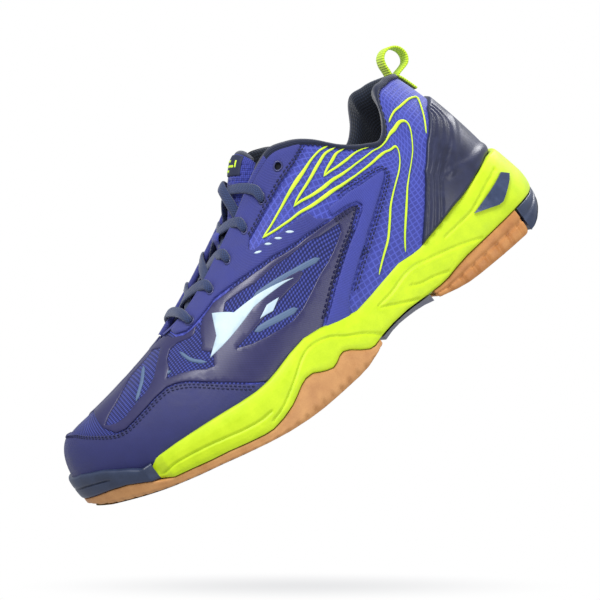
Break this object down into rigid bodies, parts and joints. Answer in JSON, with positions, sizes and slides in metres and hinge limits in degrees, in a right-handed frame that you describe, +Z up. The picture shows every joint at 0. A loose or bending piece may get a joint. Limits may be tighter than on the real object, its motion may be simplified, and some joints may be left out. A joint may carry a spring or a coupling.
{
  "type": "court shoe",
  "caption": "Low-cut left court shoe with a gum rubber outsole, moulded foam midsole, layered fabric upper, padded collar, laced tongue and heel pull tab.",
  "frame": {"origin": "middle of the shoe's length and width, on the ground plane under the outsole", "axes": "+X from heel to toe, +Y toward the outer (little toe) side of the left foot, +Z up"},
  "size_m": [0.2849, 0.1045, 0.1219],
  "materials": {
    "gum_rubber": "satin",
    "slate_rubber": "satin",
    "navy_plastic": "gloss",
    "lime_foam": "satin",
    "slate_badge": "satin",
    "board": "matte",
    "footbed": "matte",
    "blue_fabric": "matte",
    "vamp_mesh": "matte",
    "purple_film": "satin",
    "ripstop": "satin",
    "padding": "matte",
    "lining": "matte",
    "tongue_mesh": "matte",
    "label": "satin",
    "lime_webbing": "matte",
    "lace_cord": "matte"
  },
  "bodies": {
    "shoe": {"outsole_forefoot": "gum_rubber", "outsole_heel": "gum_rubber", "heel_bumper": "slate_rubber", "toe_bumper": "slate_rubber", "shank_plate": "navy_plastic", "midsole": "lime_foam", "badge_lateral": "slate_badge", "badge_medial": "slate_badge", "strobel_board": "board", "insole": "footbed", "quarter_lateral": "blue_fabric", "quarter_medial": "blue_fabric", "vamp_mesh": "vamp_mesh", "film_overlay_lateral": "purple_film", "film_overlay_medial": "purple_film", "eyestay_lateral": "ripstop", "eyestay_medial": "ripstop", "side_strap_lateral": "ripstop", "side_strap_medial": "ripstop", "toe_cap": "ripstop", "heel_counter": "navy_plastic", "toe_puff": "board", "heel_stiffener": "board", "collar_foam": "padding", "collar_lining": "lining", "collar_binding": "lining", "tongue_lower_shell": "tongue_mesh", "tongue_lower_foam": "padding", "tongue_lower_lining": "lining", "lace": "lace_cord"},
    "tongue_top": {"tongue_upper_shell": "tongue_mesh", "tongue_upper_foam": "padding", "tongue_upper_lining": "lining", "tongue_label": "label"},
    "pull_tab": {"pull_tab": "lime_webbing"}
  },
  "joints": [
    {"name": "tongue_bend", "type": "hinge", "parent": "shoe", "child": "tongue_top", "pos_m": [-0.004, 0, 0.0975], "axis": [0, 1, 0], "range_deg": [-3, 6], "stiffness_Nm_per_rad": 0.12, "deforming": ["lace"]},
    {"name": "pull_tab_bend", "type": "hinge", "parent": "shoe", "child": "pull_tab", "pos_m": [-0.1291, 0, 0.096], "axis": [0, 1, 0], "range_deg": [-25, 5], "stiffness_Nm_per_rad": 0.02}
  ]
}
